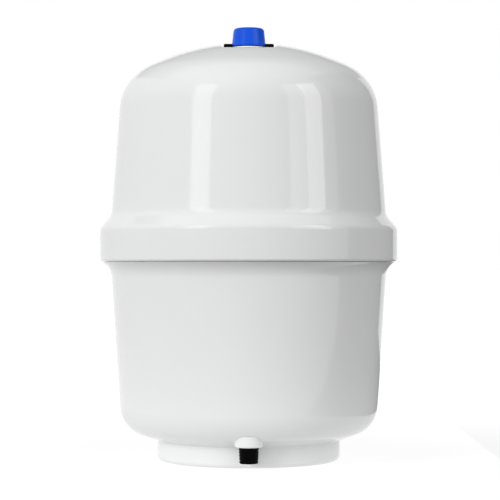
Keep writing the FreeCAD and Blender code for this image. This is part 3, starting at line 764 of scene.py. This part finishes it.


# Core spring: the coil of stainless wire that shuts the valve's core. In the valve it is squashed upwards
# as the core's pin goes in, with its top end still; here it is one rigid coil, held on the tank.
spring_low_z, spring_high_z = 11.44, 16.32
spring_radius, wire_radius, spring_turns = 1.075, 0.17, 5
wire_sides = 10
spring_steps = spring_turns * 32
spring_climb = spring_high_z - spring_low_z - 2 * wire_radius
coil = bmesh.new()
loop = bmesh.ops.create_circle(coil, cap_ends=False, segments=wire_sides, radius=wire_radius)["verts"]
bmesh.ops.rotate(coil, cent=(0, 0, 0), matrix=Matrix.Rotation(pi / 2, 3, "X"), verts=loop)
bmesh.ops.translate(coil, vec=(spring_radius, 0, spring_low_z + wire_radius), verts=loop)
bmesh.ops.spin(coil, geom=list(coil.verts) + list(coil.edges), cent=(0, 0, 0), axis=(0, 0, 1),
               dvec=(0, 0, spring_climb / spring_steps), angle=2 * pi * spring_turns, steps=spring_steps)
bmesh.ops.holes_fill(coil, edges=coil.edges, sides=wire_sides)
bmesh.ops.recalc_face_normals(coil, faces=coil.faces)
bmesh.ops.translate(coil, vec=(0, valve_y, 0), verts=coil.verts)
spring = add_piece("core_coil", coil, stainless)
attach(spring, "tank")
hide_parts("core_spring")
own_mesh(spring)


# Inner pieces: the liner, the diaphragm, the seals, the washer and the valve's core keep their built
# shapes, and take the materials that they are moulded, pressed or turned in.
butyl_light, butyl_shade = (0.022, 0.022, 0.022), (0.013, 0.013, 0.013)
seal_light, seal_shade = (0.03, 0.03, 0.03), (0.018, 0.018, 0.018)
liner_light, liner_shade = (0.76, 0.77, 0.74), (0.70, 0.71, 0.68)
plated_light, plated_shade = (0.64, 0.64, 0.62), (0.52, 0.52, 0.5)
liner_plastic = plastic("liner", liner_light, liner_shade, smooth=0.30, rough=0.42, bump=0.03)
butyl = plastic("butyl_rubber", butyl_light, butyl_shade, smooth=0.6, rough=0.75,
                bump=0.08, gloss=0.3, peel=900.0)
seal_rubber = plastic("seal_rubber", seal_light, seal_shade, smooth=0.5, rough=0.65,
                      bump=0.04, gloss=0.3, peel=2400.0)
plated_steel = turned_metal("plated_steel", plated_light, plated_shade, smooth=0.3, rough=0.45)
inner_materials = {
    liner_plastic: ["water_liner", "clamp_ring", "port_screen"],
    butyl: ["diaphragm"],
    seal_rubber: ["port_gasket", "valve_grommet", "core_packing", "core_cup_seal", "valve_cap_seal"],
    plated_steel: ["valve_washer"],
    brass: ["core_barrel", "core_pin"],
}
for material, inner_pieces in inner_materials.items():
    for inner_piece in inner_pieces:
        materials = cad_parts[inner_piece].data.materials
        materials.clear()
        materials.append(material)


# Camera: level with the lower edge of the belt and 1.67 m from the tank, with a long lens. Its
# places are measured in the picture's own pixels, which the belt's width turns into mm.
scene = bpy.context.scene
picture_px = 500
belt_width_px = 296.3
pixel = 2 * belt_radius / belt_width_px
eye_level_px = 266.0
axis_px = 248.8
camera_distance_px = 1900.0
floor_px = 459.0
camera_data = bpy.data.cameras.new("camera")
camera_data.sensor_width = 36.0
camera_data.lens = camera_distance_px / picture_px * camera_data.sensor_width
camera = bpy.data.objects.new("camera", camera_data)
scene.collection.objects.link(camera)
camera.location = (0, -camera_distance_px * pixel * MM, (floor_px - eye_level_px) * pixel * MM)
look_right = (picture_px / 2 - axis_px) / camera_distance_px
look_up = (eye_level_px - picture_px / 2) / camera_distance_px
camera.rotation_euler = (pi / 2 + look_up, 0, -look_right)
camera_data.clip_start = 0.05
camera_data.clip_end = 200
scene.camera = camera


# Studio: two tall window lamps and a strip lamp that show in the gloss, and soft lamps out of sight
# for the shape. A white surround and a pale floor stand behind, with a card and a flag that only the
# tank reflects.
lamp_aim = Vector((0, 0, 0.2))


def area_lamp(name, azimuth, elevation, distance, width, height, radiance, seen=True):
    """A rectangular lamp aimed at the tank. Azimuth is from the camera's side, to the right."""
    data = bpy.data.lights.new(name, "AREA")
    data.shape = "RECTANGLE"
    data.size, data.size_y = width, height
    data.energy = radiance * pi * width * height
    lamp = bpy.data.objects.new(name, data)
    scene.collection.objects.link(lamp)
    turn, lift = radians(azimuth), radians(elevation)
    away = Vector((sin(turn) * cos(lift), -cos(turn) * cos(lift), sin(lift)))
    lamp.location = lamp_aim + away * distance
    lamp.rotation_mode = "QUATERNION"
    lamp.rotation_quaternion = away.to_track_quat("Z", "Y")
    lamp.visible_glossy = seen


area_lamp("strip", azimuth=-40, elevation=23.5, distance=1.6,
          width=0.46, height=1.13, radiance=2.1)
area_lamp("window", azimuth=57, elevation=23.5, distance=1.6,
          width=0.42, height=1.13, radiance=2.8)
area_lamp("window_side", azimuth=42, elevation=23.5, distance=1.6,
          width=0.45, height=1.13, radiance=1.25)
area_lamp("key", azimuth=-45, elevation=14, distance=2.2,
          width=0.7, height=0.7, radiance=12.8, seen=False)
area_lamp("key_side", azimuth=-72, elevation=20, distance=2.2,
          width=0.7, height=0.7, radiance=0.6, seen=False)
area_lamp("fill", azimuth=30, elevation=20, distance=2.2,
          width=0.7, height=0.7, radiance=0.6, seen=False)
area_lamp("back", azimuth=170, elevation=22, distance=2.2,
          width=0.9, height=0.9, radiance=1.5, seen=False)


def stage_material(name, grey):
    """A dull grey that shines by itself, for what stands round the tank."""
    material = bpy.data.materials.new(name)
    material.use_nodes = True
    shader = material.node_tree.nodes["Principled BSDF"]
    shader.inputs["Base Color"].default_value = (grey, grey, grey, 1)
    shader.inputs["Specular IOR Level"].default_value = 0.0
    shader.inputs["Emission Color"].default_value = (1, 1, 1, 1)
    return material, shader


def unseen_sheet(name, mesh, glow):
    """A sheet that the tank reflects and the camera doesn't see. glow is how light it looks."""
    material, shader = stage_material(name, 0.06)
    shader.inputs["Emission Strength"].default_value = glow
    sheet = add_piece(name, mesh, material)
    sheet.visible_camera = False
    return sheet


# A dark card stands and lies out of sight on the right, and keeps that edge from glaring.
card_half = 800.0
card_x, card_y, card_foot_z = 1000.0, 550.0, 1.0
card_lying = 780.0
card_mesh = bmesh.new()
upright = Matrix.Rotation(pi / 2, 3, "Y")
bmesh.ops.create_grid(card_mesh, x_segments=1, y_segments=1, size=card_half)
bmesh.ops.rotate(card_mesh, cent=(0, 0, 0), matrix=upright, verts=card_mesh.verts)
bmesh.ops.translate(card_mesh, vec=(card_x, card_y, card_half + card_foot_z), verts=card_mesh.verts)
card_foot = [edge for edge in card_mesh.edges if max(vert.co.z for vert in edge.verts) < 2 * card_foot_z]
lying = bmesh.ops.extrude_edge_only(card_mesh, edges=card_foot)["geom"]
lying = [part for part in lying if isinstance(part, bmesh.types.BMVert)]
bmesh.ops.translate(card_mesh, vec=(-card_lying, 0, 0), verts=lying)
card = unseen_sheet("card", card_mesh, 0.22)

# A grey flag hangs behind and above, so that the cap's and the crown's upper edges stay crisp.
flag_half = 1350.0
flag_y, flag_z = 1650.0, 1500.0
flag_mesh = bmesh.new()
bmesh.ops.create_grid(flag_mesh, x_segments=1, y_segments=1, size=flag_half)
bmesh.ops.translate(flag_mesh, vec=(0, flag_y, flag_z), verts=flag_mesh.verts)
flag = unseen_sheet("flag", flag_mesh, 0.45)


def larger_of(tree, first, second):
    """The larger of two values in a node tree."""
    pick = tree.nodes.new("ShaderNodeMath")
    pick.operation = "MAXIMUM"
    tree.links.new(first, pick.inputs[0])
    tree.links.new(second, pick.inputs[1])
    return pick.outputs["Value"]


# The surround is white to the camera and in reflections, and lights the tank less than that.
ambient = 0.53
world = bpy.data.worlds.new("studio")
scene.world = world
world.use_nodes = True
tree = world.node_tree
rays = tree.nodes.new("ShaderNodeLightPath").outputs
seen = larger_of(tree, rays["Is Camera Ray"], rays["Is Glossy Ray"])
seen = larger_of(tree, seen, rays["Is Transmission Ray"])
surround = tree.nodes.new("ShaderNodeMix")
surround.data_type = "RGBA"
surround.inputs["A"].default_value = (ambient, ambient, ambient, 1)
surround.inputs["B"].default_value = (1, 1, 1, 1)
tree.links.new(seen, surround.inputs["Factor"])
tree.links.new(surround.outputs["Result"], tree.nodes["Background"].inputs["Color"])

# The floor's glow is another one to the camera and in reflections than in the light that it gives.
# Both change with the distance from the tank's axis, in metres.
floor_half = 60000.0
floor_material, ground = stage_material("floor", 0.16)
ground.inputs["Roughness"].default_value = 0.9
tree = floor_material.node_tree
place = tree.nodes.new("ShaderNodeTexCoord")
reach = tree.nodes.new("ShaderNodeVectorMath")
reach.operation = "LENGTH"
tree.links.new(place.outputs["Object"], reach.inputs[0])


def glow_ramp(near, far, first, last):
    """A glow that changes smoothly between two distances from the tank's axis."""
    ramp = tree.nodes.new("ShaderNodeMapRange")
    ramp.interpolation_type = "SMOOTHSTEP"
    for label, value in (("From Min", near), ("From Max", far), ("To Min", first), ("To Max", last)):
        ramp.inputs[label].default_value = value
    tree.links.new(reach.outputs["Value"], ramp.inputs["Value"])
    return ramp.outputs["Result"]


rays = tree.nodes.new("ShaderNodeLightPath").outputs
glow = tree.nodes.new("ShaderNodeMix")
tree.links.new(larger_of(tree, rays["Is Camera Ray"], rays["Is Glossy Ray"]), glow.inputs["Factor"])
tree.links.new(glow_ramp(0.10, 0.35, 0.7, 0.04), glow.inputs["A"])
tree.links.new(glow_ramp(0.15, 0.6, 0.88, 1.0), glow.inputs["B"])
tree.links.new(glow.outputs["Result"], ground.inputs["Emission Strength"])
floor_mesh = bmesh.new()
bmesh.ops.create_grid(floor_mesh, x_segments=1, y_segments=1, size=floor_half)
floor = add_piece("floor", floor_mesh, floor_material)

scene.view_settings.view_transform = "Standard"
